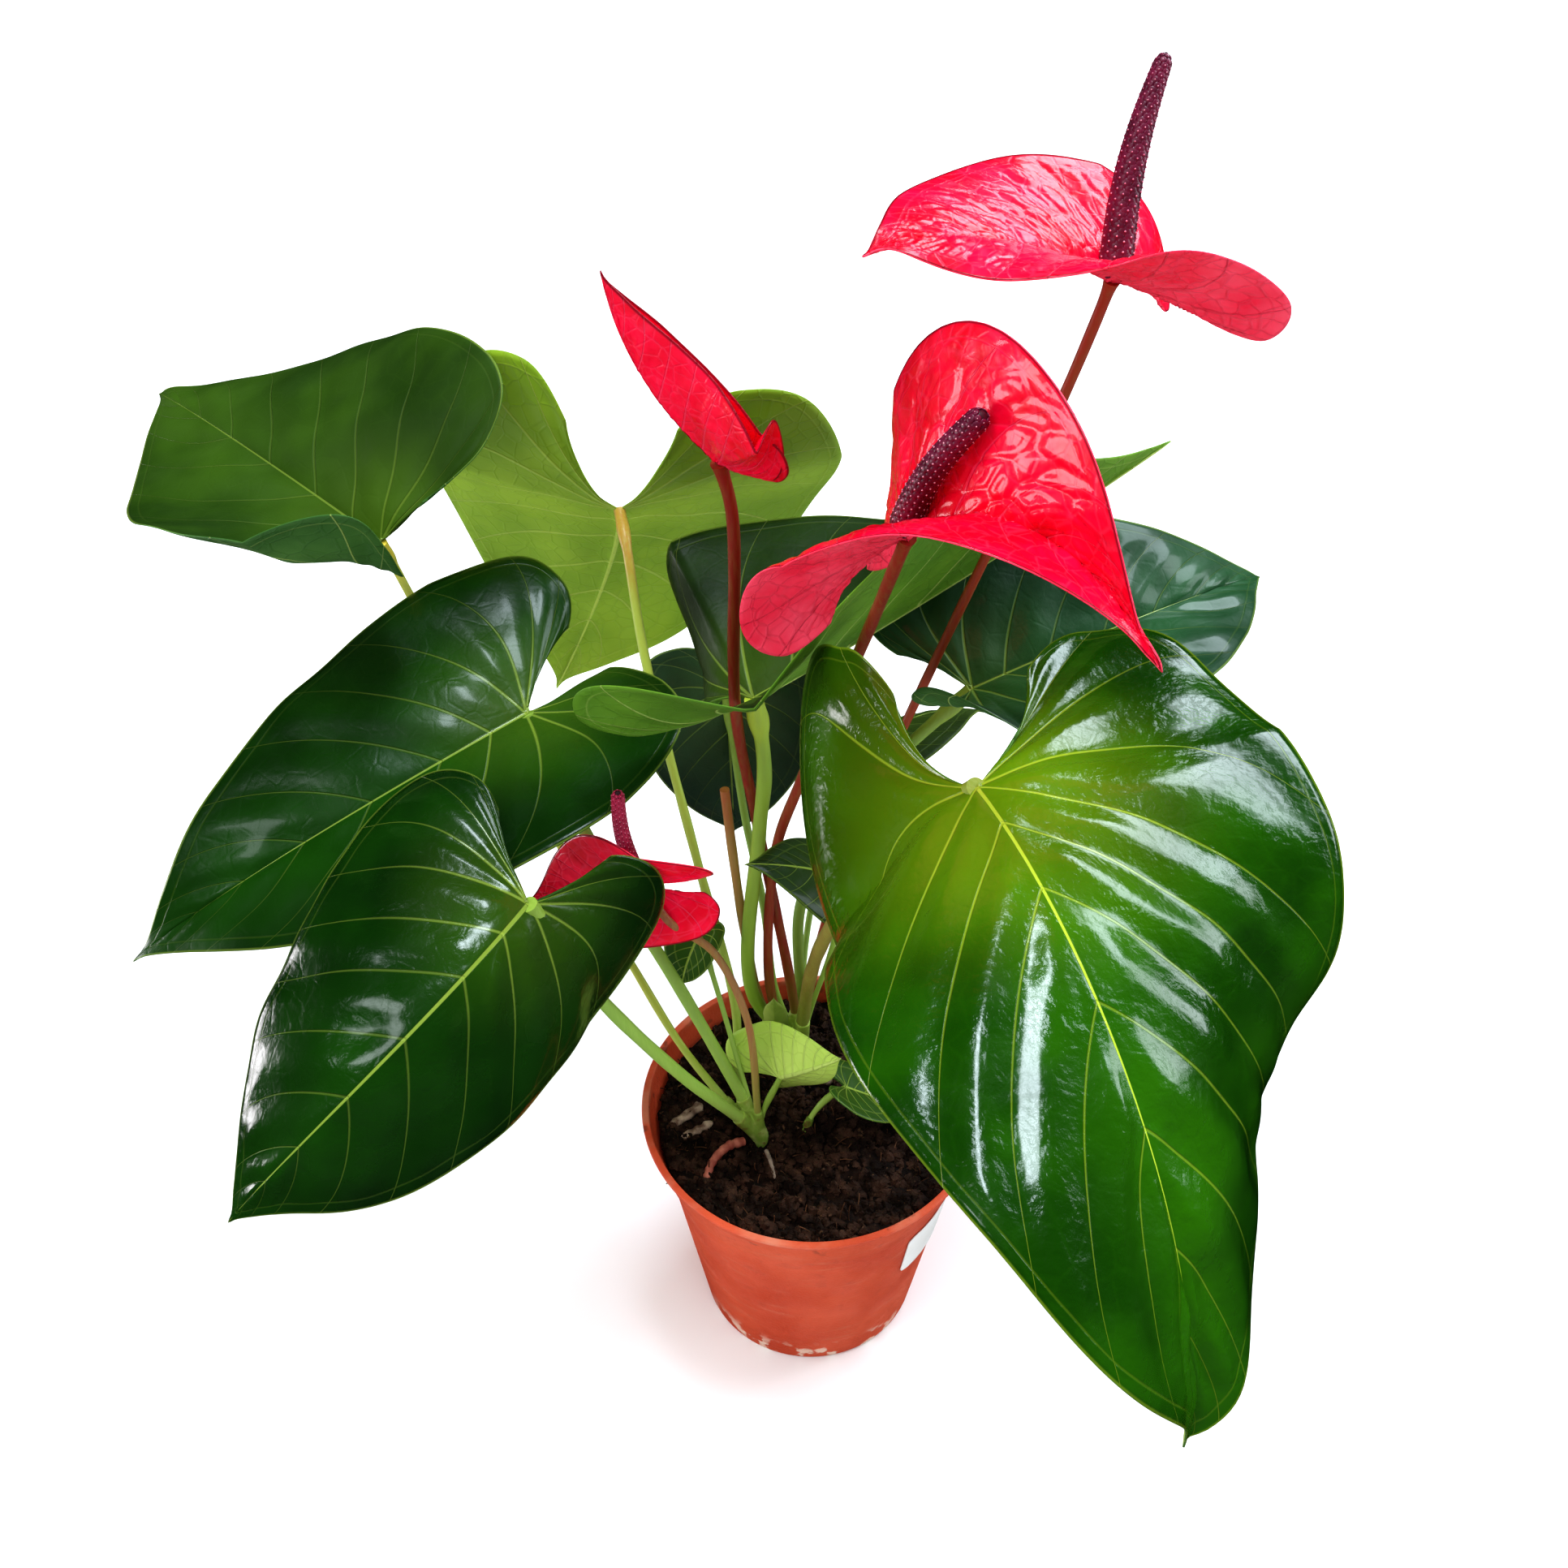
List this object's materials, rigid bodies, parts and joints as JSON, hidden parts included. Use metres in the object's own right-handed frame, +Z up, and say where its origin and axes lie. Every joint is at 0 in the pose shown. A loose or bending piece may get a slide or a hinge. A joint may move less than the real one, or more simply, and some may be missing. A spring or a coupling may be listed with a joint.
{
  "type": "potted anthurium",
  "caption": "Potted anthurium: a round nursery pot of peat with heart-shaped glossy leaves on long stalks and red waxy flowers with upright spadices",
  "frame": {"origin": "centre of the pot's base, on the surface it stands on", "axes": "+Z up along the pot's axis, -Y towards the picture's camera, +X to its right"},
  "size_m": [0.3908, 0.3581, 0.4405],
  "materials": {
    "pot": "satin",
    "label": "satin",
    "soil": "matte",
    "crown": "satin",
    "leaf": "gloss",
    "leaf_pale": "satin",
    "petiole": "satin",
    "spathe": "gloss",
    "peduncle": "satin",
    "spadix": "satin",
    "dry_stem": "matte",
    "root": "matte",
    "bark": "matte"
  },
  "bodies": {
    "root": {"pot": "pot", "pot_label": "label", "soil": "soil", "crown_back": "crown", "crown_front": "crown", "crown_side": "crown", "leaf_back_left": "leaf", "petiole_back_left": "petiole", "leaf_back_center": "leaf", "petiole_back_center": "petiole", "leaf_left": "leaf", "petiole_left": "petiole", "leaf_front_left": "leaf", "petiole_front_left": "petiole", "leaf_center_folded": "leaf", "petiole_center_folded": "petiole", "leaf_behind_stems": "leaf", "petiole_behind_stems": "petiole", "leaf_front_right": "leaf", "petiole_front_right": "petiole", "leaf_right_back": "leaf", "petiole_right_back": "petiole", "leaf_right_low": "leaf", "petiole_right_low": "petiole", "leaf_small_center": "leaf", "petiole_small_center": "petiole", "leaf_small_left": "leaf", "petiole_small_left": "petiole", "leaf_pale_low": "leaf_pale", "petiole_pale_low": "petiole", "leaf_small_low": "leaf", "petiole_small_low": "petiole", "spathe_top": "spathe", "peduncle_top": "peduncle", "spadix_top": "spadix", "spathe_center": "spathe", "peduncle_center": "peduncle", "spadix_center": "spadix", "spathe_furled": "spathe", "peduncle_furled": "peduncle", "spadix_furled": "spadix", "spathe_low": "spathe", "peduncle_low": "peduncle", "spadix_low": "spadix", "cut_stub": "dry_stem", "sheath_green": "crown", "sheath_pale": "dry_stem", "aerial_root_red": "root", "aerial_root_grey": "bark", "bark_chip_1": "bark", "bark_chip_2": "bark", "bark_chip_3": "bark"}
  },
  "joints": []
}
